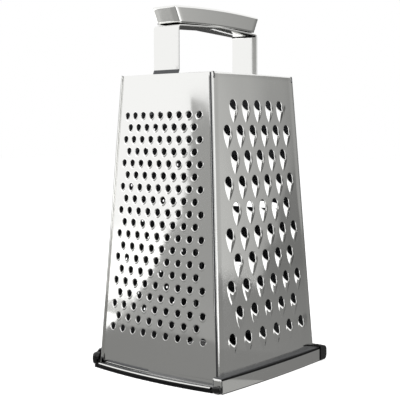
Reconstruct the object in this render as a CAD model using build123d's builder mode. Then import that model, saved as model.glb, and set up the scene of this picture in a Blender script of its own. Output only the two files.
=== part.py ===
"""A four-sided kitchen box grater in mirror-bright steel with a black moulded base.

The body is a hollow tapered box, open at the top and the bottom, folded from four panels.
Each panel bows outward a little between its two vertical edges, in a few flat strips.
Two bent panels (front and back) wrap a narrow flange inside the two hemmed side panels.
Front: fine grating holes. Right: coarse hooded teeth. Back: slicing slots. Left: zesting spikes.
A steel strap rises from the top edges and carries a flared sheet-metal grip.
Millimetres, +Z up, the origin on the ground in the middle of the base, the front faces -Y.
"""

import os
from math import cos, radians, sin, tan

from build123d import *

os.makedirs("parts", exist_ok=True)

# The body, measured across its edges at the ground and at the top
body_top = 195.0
base_width = 103.4
top_width = 79.2
base_depth = 103.4
top_depth = 85.8
front_bow = 3.2
back_bow = 1.0
side_bow = 1.6

# Sheet metal
sheet = 0.6
bend_radius = 2.0
bend_flats = 3
return_length = 7.0
hem_width = 3.0
hem_proud = 1.0
land_width = 4.0
top_hem = 4.0
notch_width = 2.6
notch_depth = 2.4

# The flared lip at the foot of the front panel
lip_thickness = 1.2
lip_side_gap = 0.5
lip_inset = 1.0
lip_cove = 2.8
cove_steps = 2

# Fine holes in the front panel
fine_rows = 19
fine_top_z = 168.1
fine_step = 7.8
fine_pitch_top = 7.72
fine_pitch_low = 9.72
fine_in_row = 9
fine_width = 4.4
fine_rise = 1.3
fine_length = 3.2
fine_mouth = 2.3
fine_bore = 2.6

# Coarse teeth in the right panel
coarse_rows = 10
coarse_top_z = 174.6
coarse_step = 16.16
coarse_pitch_top = 12.62
coarse_pitch_low = 15.09
coarse_in_row = 5
coarse_width = 7.2
coarse_rise = 2.7
coarse_length = 9.0
coarse_mouth = 4.2
coarse_bore = 4.4

# Slicing slots in the back panel
slot_rows = 3
slot_top_z = 150.0
slot_step = 46.0
slot_length = 58.0
slot_rise = 2.6
slot_ramp = 11.0
slot_mouth = 6.0
slot_bore = 54.0
slot_sink = 0.55
slot_narrow_share = 0.92

# Zesting spikes in the left panel
spike_rows = 12
spike_top_z = 172.0
spike_step = 12.8
spike_pitch_top = 12.6
spike_pitch_low = 15.4
spike_in_row = 5
spike_width = 3.6
spike_rise = 1.5
spike_slope = 20
spike_turn = 45

# The black base frame
foot_height = 1.8
ledge = 3.0
front_over = 5.6
side_over = 5.6
back_over = 1.1
ring_front_bow = 5.2
ring_back_bow = 2.8
ring_side_bow = 1.6
ring_corner = 1.2
ridge_height = 9.0
ridge_cover = 1.1
seat_clearance = 0.1

# The steel bands on the sides and the steel bar on the back
band_thickness = 0.8
band_low = 0.5
band_high = 8.1
band_front_over = 4.8
band_back_short = 1.2
bar_depth = 6.9
bar_low = 0.6
bar_high = 9.4
bar_round = 3.2
bar_half_length = 51.0

# Black end pieces
plug_over = 6.3
plug_round = 1.2
left_corner_round = 8.0
left_plug_round = 3.0
plug_bevel = 0.4
right_plug_height = 6.7
left_plug_height = 9.4
cap_extra = 0.2
cap_round = 3.3

# Handle strap and grip
strap_width = 21.5
strap_thickness = 1.2
strap_reach = 42.5
strap_bend = 2.4
tab_length = 12.0
tab_gap = 0.05
jog_low = 195.4
jog_high = 197.4
total_height = 240.0
strap_shoulder_drop = 13.6
strap_crown_drop = 11.7
grip_width = 20.6
grip_foot_reach = 40.0
grip_foot_drop = 12.6
grip_top_reach = 45.5
grip_top_drop = 1.6
grip_sheet = 0.8
grip_bevel = 0.9
grip_seat = 0.05

# How many flat strips make each bowed face
front_strips = 7
back_strips = 3
side_strips = 5

# The arch of a hood, the hole under it, and one overrun for all cuts
top_across_share = 0.5
tooth_narrow_share = 0.7
hole_slant = 40.0
overrun = 1.0

# Places that follow from the sizes
strap_shoulder = total_height - strap_shoulder_drop
strap_crown = total_height - strap_crown_drop
grip_foot_end_z = total_height - grip_foot_drop
grip_top_end_z = total_height - grip_top_drop
band_front_y = -base_depth / 2 - band_front_over
band_back_y = base_depth / 2 - band_back_short
plug_front_y = -base_depth / 2 - plug_over
left_corner_y = -base_depth / 2 - front_over + left_corner_round
lip_half_length = base_width / 2 - 2 * sheet - bend_radius - lip_side_gap

front = Vector(0, -1, 0)
back = Vector(0, 1, 0)
right = Vector(1, 0, 0)
left = Vector(-1, 0, 0)
up = Vector(0, 0, 1)


def at_height(low, high, z):
    """A size that changes evenly from the ground to the top edge of the body."""
    return low + (high - low) * z / body_top


def half_width(z):
    return at_height(base_width, top_width, z) / 2


def half_depth(z):
    return at_height(base_depth, top_depth, z) / 2


def bent_chord(z):
    """Half the width of the bowed face of a front or back panel."""
    return half_width(z) - 2 * sheet - bend_radius


def hemmed_chord(z):
    """Half the width of the bowed face of a side panel."""
    return half_depth(z) - land_width


class BowedSide:
    """One bowed side of the body: flat strips between straight edges that all run up to one apex."""

    def __init__(self, outward, reach_at, chord_at, bow, strips):
        chord = chord_at(0)
        self.outward = outward
        self.chord = chord
        self.bow = bow
        self.apex_z = body_top * chord / (chord - chord_at(body_top))
        self.apex_reach = reach_at(self.apex_z)
        shares = [2 * i / strips - 1 for i in range(strips + 1)]
        self.corners = [(share * chord, reach_at(0) + bow * (1 - share**2)) for share in shares]

    def section(self, z, behind):
        """The strips' corners at one height, as (across, outward), set back by a distance."""
        shrink = 1 - z / self.apex_z
        return [(x * shrink, self.apex_reach + (y - self.apex_reach) * shrink - behind) for x, y in self.corners]

    def strip_at(self, across, z):
        """The two corners, at one height, of the strip that a point lies on."""
        corners = self.section(z, 0)
        return [pair for pair in zip(corners, corners[1:]) if pair[0][0] <= across][-1]

    def stand(self, across, z):
        """How far out the outer face lies, across from the middle and up from the ground."""
        start, end = self.strip_at(across, z)
        return start[1] + (end[1] - start[1]) * (across - start[0]) / (end[0] - start[0])

    def apex(self, behind):
        return self.outward * (self.apex_reach - behind) + up * self.apex_z

    def plane(self, across, z):
        """The plane of one strip, at a tooth: X across, Y up the panel, Z outward."""
        along = self.outward.cross(up)
        start, end = self.strip_at(across, z)
        strip = along * (end[0] - start[0]) + self.outward * (end[1] - start[1])
        origin = along * across + self.outward * self.stand(across, z) + up * z
        return Plane(origin=origin, x_dir=strip * -1, z_dir=(self.apex(0) - origin).cross(strip))


front_side = BowedSide(front, half_depth, bent_chord, front_bow, front_strips)
back_side = BowedSide(back, half_depth, bent_chord, back_bow, back_strips)
right_side = BowedSide(right, half_width, hemmed_chord, side_bow, side_strips)
left_side = BowedSide(left, half_width, hemmed_chord, side_bow, side_strips)


def level_plane(outward, z):
    """A horizontal sketch plane whose own Y points outward through the panel."""
    return Plane(origin=(0, 0, z), x_dir=outward.cross(up), z_dir=up)


def spire(side, behind, spread):
    """Everything behind a bowed side, set back by a distance and made wider by a spread."""
    corners = side.section(foot_height, behind)
    reach = min(y for x, y in corners) - 2 * return_length
    wide = corners[-1][0] + spread
    ends = [(-wide, corners[0][1]), *corners, (wide, corners[-1][1])] if spread else corners
    with BuildPart() as solid:
        with BuildSketch(level_plane(side.outward, foot_height)) as base:
            Polygon(*ends, (wide, reach), (-wide, reach), align=None)
        loft(sections=[base.sketch.face(), Vertex(*side.apex(behind))], ruled=True)
    return solid.part


def bowed_face(side):
    """The sheet between the two edges of a side, doubled inward along its top as a safe hem."""
    with BuildPart() as behind_sheet:
        add(spire(side, sheet, overrun))
        split(bisect_by=Plane.XY.offset(body_top - top_hem), keep=Keep.BOTTOM)
    with BuildPart() as face:
        add(spire(side, 0, 0))
        split(bisect_by=Plane.XY.offset(body_top), keep=Keep.BOTTOM)
        add(behind_sheet.part, mode=Mode.SUBTRACT)
        add(spire(side, 2 * sheet, overrun), mode=Mode.SUBTRACT)
    return face.part


def edge_run(outward, side, section, top_span, top_reach, low_span, low_reach):
    """A constant section that climbs along one leaning edge of the body."""
    along = outward.cross(up)
    rise = body_top - foot_height
    path = along * side * (top_span - low_span) + outward * (top_reach - low_reach) + up * rise
    with BuildPart() as run:
        add(section)
        extrude(amount=path.length, dir=path)
    return run.part


def bend_section(outward, side):
    """A bend in a few flats and its return flange, at the foot of a bent panel."""
    chord = bent_chord(foot_height)
    turn = half_depth(foot_height) - bend_radius
    low = half_depth(foot_height) - return_length
    turns = [radians(90 * i / bend_flats) for i in range(bend_flats + 1)]
    outer = [(chord + bend_radius * sin(a), turn + bend_radius * cos(a)) for a in turns]
    inner = [(chord + (bend_radius - sheet) * sin(a), turn + (bend_radius - sheet) * cos(a)) for a in turns]
    edge = [(outer[-1][0], low), (inner[-1][0], low)]
    with BuildSketch(level_plane(outward, foot_height)) as section:
        Polygon(*[(side * x, y) for x, y in outer + edge + inner[::-1]], align=None)
    return section.sketch


def hem_section(outward, side):
    """A flat land and the edge folded flat behind it, with its round nose."""
    chord = hemmed_chord(foot_height)
    reach = half_width(foot_height)
    span = half_depth(foot_height) + hem_proud
    nose = span - sheet
    fold = span - hem_width
    with BuildSketch(level_plane(outward, foot_height)) as section:
        with BuildLine():
            Polyline((side * chord, reach - sheet), (side * chord, reach), (side * nose, reach))
            ThreePointArc(
                (side * nose, reach), (side * span, reach - sheet), (side * nose, reach - 2 * sheet)
            )
            Polyline(
                (side * nose, reach - 2 * sheet),
                (side * fold, reach - 2 * sheet),
                (side * fold, reach - sheet),
                (side * chord, reach - sheet),
            )
        make_face()
    return section.sketch


def staggered(rows, top_z, step, pitch_top, pitch_low, in_row, other_row):
    """Centres of a staggered pattern as (across, height), rows alternating between two counts."""
    low_z = top_z - step * (rows - 1)
    places = []
    for row in range(rows):
        z = top_z - step * row
        pitch = pitch_low + (pitch_top - pitch_low) * (z - low_z) / (top_z - low_z)
        count = other_row if row % 2 else in_row
        places += [((i - (count - 1) / 2) * pitch, z) for i in range(count)]
    return places


def arch_points(width, rise, sink):
    """A trapezium arch that stands on the sheet, its foot sunk into it."""
    flat = width / 2 * top_across_share
    return [(-width / 2, -sink), (-flat, rise), (flat, rise), (width / 2, -sink)]


def hood_solid(width, rise, length):
    """A pointed hood: the arch at its mouth runs down to one point on the sheet."""
    with BuildPart() as hood:
        with BuildSketch(Plane.XZ) as mouth:
            Polygon(*arch_points(width, rise, sheet / 2), align=None)
        loft(sections=[mouth.sketch.face(), Vertex(0, -length, -sheet / 2)], ruled=True)
    return hood.part


def hood_cutter(bore, headroom, reach, narrow_share):
    """A slanted hole that starts in front of the mouth and passes under the hood and the sheet."""
    drop = reach * tan(radians(hole_slant))
    ahead = reach / cos(radians(hole_slant)) + overrun
    behind = (headroom + sheet + overrun) / sin(radians(hole_slant))
    flat = bore / 2 * narrow_share
    with BuildPart() as cutter:
        with BuildSketch(Plane.XZ):
            Polygon((-flat, -drop), (-bore / 2, headroom), (bore / 2, headroom), (flat, -drop), align=None)
        slant = Vector(0, -cos(radians(hole_slant)), -sin(radians(hole_slant)))
        extrude(amount=behind, dir=slant)
        extrude(cutter.faces().sort_by(Axis.Y)[-1], amount=ahead, dir=slant * -1)
    return cutter.part


# One coarse tooth and one fine tooth: the outside, and what is cut away under and above it
coarse_hood = hood_solid(coarse_width, coarse_rise, coarse_length)
coarse_cutter = hood_cutter(coarse_bore, coarse_rise - sheet, coarse_mouth, tooth_narrow_share)
fine_hood = hood_solid(fine_width, fine_rise, fine_length)
fine_cutter = hood_cutter(fine_bore, fine_rise - sheet, fine_mouth, tooth_narrow_share)

# One slicing blade: a long low ramp, open under its edge
with BuildPart() as slot_hood:
    with BuildSketch(Plane.YZ):
        Polygon((0, -slot_sink), (0, slot_rise), (-slot_ramp, -slot_sink), align=None)
    extrude(amount=slot_length / 2, both=True)

slot_cutter = hood_cutter(slot_bore, slot_rise - sheet, slot_mouth, slot_narrow_share)

# One zesting spike: a square crown burst outward round its hole
spike_height = spike_rise + sheet / 2
with BuildPart() as spike_crown:
    with BuildSketch(Plane.XY.offset(-sheet / 2)):
        Rectangle(spike_width, spike_width, rotation=spike_turn)
    extrude(amount=spike_height, taper=spike_slope)

with BuildPart() as spike_cutter:
    with BuildSketch(Plane.XY.offset(-sheet - overrun)):
        Rectangle(spike_width, spike_width, rotation=spike_turn)
    extrude(amount=spike_rise + sheet + 2 * overrun, taper=spike_slope)

fine_places = staggered(
    fine_rows, fine_top_z, fine_step, fine_pitch_top, fine_pitch_low, fine_in_row, fine_in_row - 1
)
coarse_places = staggered(
    coarse_rows, coarse_top_z, coarse_step, coarse_pitch_top, coarse_pitch_low, coarse_in_row, coarse_in_row + 1
)
spike_places = staggered(
    spike_rows, spike_top_z, spike_step, spike_pitch_top, spike_pitch_low, spike_in_row, spike_in_row - 1
)
slot_places = [(0, slot_top_z - slot_step * i) for i in range(slot_rows)]
fine_planes = [front_side.plane(*place) for place in fine_places]
coarse_planes = [right_side.plane(*place) for place in coarse_places]
spike_planes = [left_side.plane(*place) for place in spike_places]
slot_planes = [back_side.plane(*place) for place in slot_places]


def base_outline(width_over, back_reach, round_corner):
    """An outline on the ground round the body: four bowed sides, the corners rounded if asked."""
    x = base_width / 2 + width_over
    front_y = -base_depth / 2 - front_over
    back_y = base_depth / 2 + back_reach
    with BuildSketch() as outline:
        with BuildLine():
            ThreePointArc((-x, front_y), (0, front_y - ring_front_bow), (x, front_y))
            ThreePointArc((x, front_y), (x + ring_side_bow, 0), (x, back_y))
            ThreePointArc((x, back_y), (0, back_y + ring_back_bow), (-x, back_y))
            ThreePointArc((-x, back_y), (-x - ring_side_bow, 0), (-x, front_y))
        make_face()
        if round_corner:
            left_front = outline.vertices().sort_by(lambda corner: corner.X + corner.Y)[0]
            fillet(outline.vertices() - [left_front], round_corner)
            left_front = outline.vertices().sort_by(lambda corner: corner.X + corner.Y)[0]
            fillet(left_front, left_corner_round)
    return outline.sketch


def body_outline(z, gap):
    """The outside of the four panels at one height, with a gap all round."""
    x = half_width(z) + gap
    y = half_depth(z) + hem_proud + gap
    with BuildSketch(Plane.XY.offset(z)) as outline:
        with BuildLine():
            ThreePointArc((-x, -y), (0, -half_depth(z) - front_bow - gap), (x, -y))
            ThreePointArc((x, -y), (x + side_bow, 0), (x, y))
            Line((x, y), (-x, y))
            ThreePointArc((-x, y), (-x - side_bow, 0), (-x, -y))
        make_face()
    return outline.sketch


# Where the side ridges of the base begin inside, and how far out they reach
ridge_inner_x = base_width / 2 - ridge_cover
frame_over = side_over - band_thickness

# The space that the panels take up near the ground, with the seat clearance round it
with BuildPart() as body_space:
    add(body_outline(foot_height, seat_clearance))
    add(body_outline(ridge_height + overrun, seat_clearance))
    loft(ruled=True)

# Base frame: a thin foot strip under the panels, with a ridge outside three of them
with BuildPart() as base_frame_whole:
    add(base_outline(side_over, back_over, ring_corner))
    extrude(amount=band_low)
    add(base_outline(frame_over, back_over, ring_corner))
    extrude(amount=ridge_height)
    with BuildSketch(Plane.XY.offset(foot_height)):
        with Locations((0, -base_depth / 2 + hem_proud)):
            Rectangle(2 * ridge_inner_x, 4 * front_over, align=(Align.CENTER, Align.MAX))
        with Locations((0, band_front_y)):
            Rectangle(2 * base_width, 4 * front_over, align=(Align.CENTER, Align.MAX))
    extrude(amount=ridge_height, mode=Mode.SUBTRACT)
    with BuildSketch():
        Rectangle(base_width - 2 * ledge, base_depth - 2 * ledge)
    extrude(amount=ridge_height, mode=Mode.SUBTRACT)
    add(body_space.part, mode=Mode.SUBTRACT)
    with BuildSketch():
        for side in (-1, 1):
            with Locations((side * ridge_inner_x, band_front_y)):
                edge = Align.MIN if side > 0 else Align.MAX
                Rectangle(4 * side_over, 4 * front_over, align=(edge, Align.MAX))
    extrude(amount=ridge_height, mode=Mode.SUBTRACT)

left_zone = Pos(-ridge_inner_x, left_corner_y, 0)
with BuildPart() as left_corner:
    with BuildSketch(Plane(left_zone)):
        Rectangle(4 * side_over, 4 * front_over, align=(Align.MAX, Align.MAX))
    extrude(amount=left_plug_height)

with BuildPart() as base_frame:
    add(base_frame_whole.part)
    add(left_corner.part, mode=Mode.SUBTRACT)

base_frame.part.label = "base_frame"
export_step(base_frame.part, "parts/base_frame.step")


def side_band(side):
    """A flat steel band outside one side ridge, bowed like the base."""
    with BuildPart() as band:
        with BuildSketch(Plane.XY.offset(band_low)):
            add(base_outline(side_over, back_over, 0))
            add(base_outline(frame_over, back_over, 0), mode=Mode.SUBTRACT)
            start_y = band_front_y if side > 0 else left_corner_y
            with Locations((side * base_width / 2, start_y)):
                edge = Align.MIN if side > 0 else Align.MAX
                Rectangle(base_width, band_back_y - start_y, align=(edge, Align.MIN), mode=Mode.INTERSECT)
        extrude(amount=band_high - band_low)
    return band.part


rim_band_right = side_band(1)
rim_band_left = side_band(-1)
for band, label in ((rim_band_right, "rim_band_right"), (rim_band_left, "rim_band_left")):
    band.label = label
    export_step(band, f"parts/{label}.step")

# Back bar: a fat rounded steel bar along the foot of the back panel, bowed like the base
with BuildPart() as rim_bar_back:
    with BuildSketch(Plane.XY.offset(bar_low)):
        add(base_outline(side_over, back_over + bar_depth, 0))
        add(base_outline(side_over, back_over, 0), mode=Mode.SUBTRACT)
        with Locations((0, base_depth / 2)):
            Rectangle(2 * bar_half_length, base_depth, align=(Align.CENTER, Align.MIN), mode=Mode.INTERSECT)
    extrude(amount=bar_high - bar_low)
    outer_face = rim_bar_back.faces().sort_by(Axis.Y)[-1]
    fillet(outer_face.edges().filter_by(GeomType.CIRCLE), bar_round)

rim_bar_back.part.label = "rim_bar_back"
export_step(rim_bar_back.part, "parts/rim_bar_back.step")


with BuildPart() as right_plug:
    with BuildSketch():
        with Locations((ridge_inner_x, plug_front_y)):
            plug_length = base_width / 2 + side_over - ridge_inner_x
            Rectangle(plug_length, band_front_y - plug_front_y, align=(Align.MIN, Align.MIN))
    extrude(amount=right_plug_height)
    fillet(right_plug.faces().sort_by(Axis.X)[-1].edges().sort_by(Axis.Z)[-1], plug_round)
    chamfer(right_plug.faces().sort_by(Axis.Y)[0].edges(), plug_bevel)

# The left end piece is the whole rounded corner of the foot
with BuildPart() as left_plug:
    add(base_outline(side_over, back_over, ring_corner))
    extrude(amount=left_plug_height)
    fillet(left_plug.faces().sort_by(Axis.Z)[-1].edges(), left_plug_round)
    add(left_corner.part, mode=Mode.INTERSECT)
    add(body_space.part, mode=Mode.SUBTRACT)


def bar_cap(side):
    """A black cap on one end of the back bar, a little larger than the bar all round."""
    with BuildPart() as cap:
        with BuildSketch():
            add(base_outline(side_over, back_over + bar_depth + cap_extra, 0))
            add(base_outline(side_over, back_over, 0), mode=Mode.SUBTRACT)
            with Locations((side * bar_half_length, base_depth / 2)):
                edge = Align.MIN if side > 0 else Align.MAX
                Rectangle(base_width, base_depth, align=(edge, Align.MIN), mode=Mode.INTERSECT)
        extrude(amount=bar_high + cap_extra)
        outer_face = cap.faces().sort_by(Axis.Y)[-1]
        long_edges = outer_face.edges().sort_by(Axis.Z)
        fillet([long_edges[0], long_edges[-1]], cap_round)
    return cap.part


end_pieces = {
    "end_plug_right": right_plug.part,
    "end_plug_left": left_plug.part,
    "bar_cap_right": bar_cap(1),
    "bar_cap_left": bar_cap(-1),
}
for label, piece in end_pieces.items():
    piece.label = label
    export_step(piece, f"parts/{label}.step")

# Handle strap: tabs inside the front and back panels, a jog over the top edge, and an arched bar
tab_low = body_top - tab_length


def tab_face(side, z):
    """How far out a flat tab lies when its edges almost touch the bowed hem."""
    return side.stand(strap_width / 2, z) - 2 * sheet - tab_gap


with BuildPart() as handle_strap:
    with BuildSketch(Plane.YZ) as strap_side:
        with BuildLine() as strap_line:
            strap_path = FilletPolyline(
                (-tab_face(front_side, tab_low), tab_low),
                (-tab_face(front_side, body_top), jog_low),
                (-strap_reach, jog_high),
                (-strap_reach, strap_shoulder),
                (0, strap_crown),
                (strap_reach, strap_shoulder),
                (strap_reach, jog_high),
                (tab_face(back_side, body_top), jog_low),
                (tab_face(back_side, tab_low), tab_low),
                radius=strap_bend,
            )
            offset(amount=strap_thickness, side=Side.RIGHT)
        make_face()
    extrude(amount=strap_width / 2, both=True)

handle_strap.part.label = "handle_strap"
export_step(handle_strap.part, "parts/handle_strap.step")


def grip_block(wall):
    """The flared body of the grip, drawn in by the given wall except at the open bottom."""
    foot_end = grip_foot_end_z + grip_seat
    foot_middle = strap_crown + grip_seat
    lower = overrun if wall else 0
    with BuildPart() as block:
        with BuildSketch(Plane.YZ):
            with BuildLine():
                Line(
                    (-grip_foot_reach + wall, foot_end - lower),
                    (-grip_top_reach + wall, grip_top_end_z - wall),
                )
                ThreePointArc(
                    (-grip_top_reach + wall, grip_top_end_z - wall),
                    (0, total_height - wall),
                    (grip_top_reach - wall, grip_top_end_z - wall),
                )
                Line(
                    (grip_top_reach - wall, grip_top_end_z - wall),
                    (grip_foot_reach - wall, foot_end - lower),
                )
                ThreePointArc(
                    (grip_foot_reach - wall, foot_end - lower),
                    (0, foot_middle - lower),
                    (-grip_foot_reach + wall, foot_end - lower),
                )
            make_face()
        extrude(amount=grip_width / 2 - wall, both=True)
        if not wall:
            chamfer(block.edges().filter_by(lambda edge: edge.center().Z > foot_middle), grip_bevel)
    return block.part


with BuildPart() as grip_cover:
    add(grip_block(0))
    add(grip_block(grip_sheet), mode=Mode.SUBTRACT)

grip_cover.part.label = "grip_cover"
export_step(grip_cover.part, "parts/grip_cover.step")


def corner_notches(outward):
    """The small cuts at the two top corners, where the bends would crowd the hems."""
    with BuildPart() as notches:
        with BuildSketch(level_plane(outward, body_top - notch_depth)):
            for side in (-1, 1):
                with Locations((side * (bent_chord(body_top) + bend_radius), half_depth(body_top))):
                    Rectangle(2 * notch_width, 2 * return_length + 2 * bend_radius)
        extrude(amount=notch_depth + overrun)
    return notches.part


def bent_panel(side):
    """A front or back panel without its teeth."""
    top_sizes = (bent_chord(body_top), half_depth(body_top))
    low_sizes = (bent_chord(foot_height), half_depth(foot_height))
    with BuildPart() as panel:
        add(bowed_face(side))
        for turn in (-1, 1):
            add(edge_run(side.outward, turn, bend_section(side.outward, turn), *top_sizes, *low_sizes))
        add(corner_notches(side.outward), mode=Mode.SUBTRACT)
    return panel.part


def hemmed_panel(side):
    """A side panel without its teeth."""
    top_sizes = (hemmed_chord(body_top), half_width(body_top))
    low_sizes = (hemmed_chord(foot_height), half_width(foot_height))
    with BuildPart() as panel:
        add(bowed_face(side))
        for turn in (-1, 1):
            add(edge_run(side.outward, turn, hem_section(side.outward, turn), *top_sizes, *low_sizes))
    return panel.part


def lip_outline(z, reach, bow):
    """The plan of the front lip at one height, from inside the sheet out to its edge."""
    shares = [2 * i / front_strips - 1 for i in range(front_strips + 1)]
    inner = [(share * lip_half_length, -front_side.stand(share * lip_half_length, z)) for share in shares]
    outer = [(share * lip_half_length, -reach - bow * (1 - share**2)) for share in shares]
    with BuildSketch(Plane.XY.offset(z)) as plan:
        Polygon(*[(x, y + sheet / 2) for x, y in inner], *outer[::-1], align=None)
    return plan.sketch


def cove_outline(turn):
    """The plan of the curved root of the lip where its profile has turned by an angle."""
    z = foot_height + lip_thickness + lip_cove * (1 - cos(radians(turn)))
    return lip_outline(z, half_depth(z) + lip_cove * (1 - sin(radians(turn))), front_bow)


# Front panel: fine holes, and a flared lip that stands on the foot strip
with BuildPart() as fine_panel:
    add(bent_panel(front_side))
    add(lip_outline(foot_height, base_depth / 2 + front_over - lip_inset, ring_front_bow))
    extrude(amount=lip_thickness)
    for turn in range(0, 90, 90 // cove_steps):
        add(cove_outline(turn))
        add(cove_outline(turn + 90 / cove_steps))
        loft(ruled=True)
    with Locations(*fine_planes):
        add(fine_hood, clean=False)
    with Locations(*fine_planes):
        add(fine_cutter, mode=Mode.SUBTRACT, clean=False)

# Right panel: coarse teeth
with BuildPart() as coarse_panel:
    add(hemmed_panel(right_side))
    with Locations(*coarse_planes):
        add(coarse_hood, clean=False)
    with Locations(*coarse_planes):
        add(coarse_cutter, mode=Mode.SUBTRACT, clean=False)

# Back panel: slicing slots with raised blades
with BuildPart() as slicer_panel:
    add(bent_panel(back_side))
    with Locations(*slot_planes):
        add(slot_hood.part, clean=False)
    with Locations(*slot_planes):
        add(slot_cutter, mode=Mode.SUBTRACT, clean=False)

# Left panel: zesting spikes
with BuildPart() as zester_panel:
    add(hemmed_panel(left_side))
    with Locations(*spike_planes):
        add(spike_crown.part, clean=False)
    with Locations(*spike_planes):
        add(spike_cutter.part, mode=Mode.SUBTRACT, clean=False)

panels = {
    "fine_panel": fine_panel.part,
    "coarse_panel": coarse_panel.part,
    "slicer_panel": slicer_panel.part,
    "zester_panel": zester_panel.part,
}
for label, panel in panels.items():
    panel.label = label
    export_step(panel, f"parts/{label}.step")
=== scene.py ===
# %% [markdown]
# A four-sided kitchen box grater: thin mirror-bright steel panels on a black moulded foot.
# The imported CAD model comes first. It fixes the sizes and the places, and every piece made
# below is worked out from the same measures, so nothing has to be moved into place later.
# %% Load the fixed frame
import math

import bmesh
import bpy
import numpy as np
from mathutils import Matrix, Vector


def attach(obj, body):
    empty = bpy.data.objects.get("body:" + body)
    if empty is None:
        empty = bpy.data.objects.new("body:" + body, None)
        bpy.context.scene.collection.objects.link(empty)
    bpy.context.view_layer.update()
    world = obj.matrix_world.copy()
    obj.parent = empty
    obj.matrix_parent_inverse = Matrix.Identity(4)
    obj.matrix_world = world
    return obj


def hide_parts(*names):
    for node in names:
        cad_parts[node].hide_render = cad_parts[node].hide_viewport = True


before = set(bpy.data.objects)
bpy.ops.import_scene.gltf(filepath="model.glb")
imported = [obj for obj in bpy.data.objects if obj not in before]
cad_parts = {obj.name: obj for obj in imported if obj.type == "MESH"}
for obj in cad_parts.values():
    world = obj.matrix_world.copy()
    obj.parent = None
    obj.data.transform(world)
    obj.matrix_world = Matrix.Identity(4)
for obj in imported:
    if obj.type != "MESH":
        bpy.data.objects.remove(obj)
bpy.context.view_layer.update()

# %% [markdown]
# The measures of the real thing, in millimetres. The body tapers, so its width and depth are
# given at the ground and at the top edge, and the faces bow out a little between their edges.
# They could be read off the CAD meshes, but written down once they also serve the flat sheets,
# which are wider than the body because they go round its bends.
# %% The body's measures
body_top = 195.0
width_low, width_high = 103.4, 79.2
depth_low, depth_high = 103.4, 85.8
front_bow_low, front_bow_high = 3.2, 2.7
side_bow_low, side_bow_high = 1.9, 0.6
foot = 1.8
sheet = 0.6
# Front and back sheets: a round bend, and a flange behind the side sheet's folded edge
bend_radius, flange = 2.0, 5.0
# The front sheet sits this much to the left, which leaves a gap at its right seam
seam_gap = 1.1
# Side sheets: a flat land past the bow, which stands proud of the front, then the fold
land_width, hem_proud, hem_return = 4.0, 1.0, 2.0
hem_nose = land_width + hem_proud - sheet
# The top edge of every sheet is folded over and runs down inside
fold_start = body_top - sheet
turn_down = 3.4


def between(low, high, z):
    """A size that changes evenly from the ground to the top edge."""
    return low + (high - low) * z / body_top


def half_width(z):
    """Half the body's width at a height."""
    return between(width_low, width_high, z) / 2


def half_depth(z):
    """Half the body's depth at a height."""
    return between(depth_low, depth_high, z) / 2


print("half width at the top edge", half_width(body_top))

# %% [markdown]
# Blender keeps a mesh as a list of points and a list of faces. Each piece here is worked out
# as whole numpy arrays and then handed over in one call. Points that lie on each other are
# merged, and the faces are shaded smooth, because polished sheet has no visible facets.
# %% Helpers that put a surface into the scene
SIDES = {
    "front": np.array([0.0, -1.0, 0.0]),
    "back": np.array([0.0, 1.0, 0.0]),
    "right": np.array([1.0, 0.0, 0.0]),
    "left": np.array([-1.0, 0.0, 0.0]),
}
UP = np.array([0.0, 0.0, 1.0])
# A millimetre in Blender's unit, the metre, and how near two points are to count as one
MM = 0.001
merge_distance, least_edge = 2e-6, 1e-7


def grid_faces(rows, columns):
    """Quads of a grid whose columns run to the right and rows run up, seen from outside."""
    j, i = np.meshgrid(np.arange(rows - 1), np.arange(columns - 1), indexing="ij")
    corner = j * columns + i
    quad = [corner, corner + 1, corner + columns + 1, corner + columns]
    return np.stack(quad, axis=-1).reshape(-1, 4)


def tube_faces(rows, columns):
    """Quads of a grid whose last column is joined to its first."""
    j, i = np.meshgrid(np.arange(rows - 1), np.arange(columns), indexing="ij")
    k = (i + 1) % columns
    quad = [j * columns + i, j * columns + k, (j + 1) * columns + k, (j + 1) * columns + i]
    return np.stack(quad, axis=-1).reshape(-1, 4)


def make_piece(name, points_mm, faces, materials, replaces, outward=False):
    """Make one object from points in millimetres and faces, and tie it to the frame."""
    mesh = bpy.data.meshes.new(name)
    points = np.asarray(points_mm).reshape(-1, 3) * MM
    mesh.from_pydata(points.tolist(), [], np.asarray(faces).tolist())
    shell = bmesh.new()
    shell.from_mesh(mesh)
    bmesh.ops.remove_doubles(shell, verts=shell.verts, dist=merge_distance)
    bmesh.ops.dissolve_degenerate(shell, edges=shell.edges, dist=least_edge)
    if outward:
        bmesh.ops.recalc_face_normals(shell, faces=shell.faces)
    shell.to_mesh(mesh)
    shell.free()
    mesh.polygons.foreach_set("use_smooth", np.ones(len(mesh.polygons), dtype=bool))
    for material in materials:
        mesh.materials.append(material)
    piece = bpy.data.objects.new(name, mesh)
    bpy.context.scene.collection.objects.link(piece)
    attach(piece, "root")
    if replaces:
        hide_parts(replaces)
    print(name, len(mesh.vertices), "points", len(mesh.polygons), "faces")
    return piece


# %% [markdown]
# Some faces of a polished piece are given the dark steel as painted shade: in a seam's gap, in a
# trough, and where the strap meets the panel. They could be pieces of their own, but then a seam
# would show in the shading. Here they keep their place in the sheet and only point to the piece's second
# material.
# %% Helpers that paint shade on chosen faces
def face_arrays(piece):
    """The middle of each face in millimetres, and its outward direction, as two arrays."""
    faces = piece.data.polygons
    middles, facing = np.empty(3 * len(faces)), np.empty(3 * len(faces))
    faces.foreach_get("center", middles)
    faces.foreach_get("normal", facing)
    return middles.reshape(-1, 3) / MM, facing.reshape(-1, 3)


def paint_shade_on(piece, chosen):
    """Give the chosen faces the second material, as painted shade; chosen is true or false for each face.
    """
    piece.data.polygons.foreach_set("material_index", chosen.astype(np.int32))
    print("dull faces of", piece.name, chosen.sum())


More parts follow.
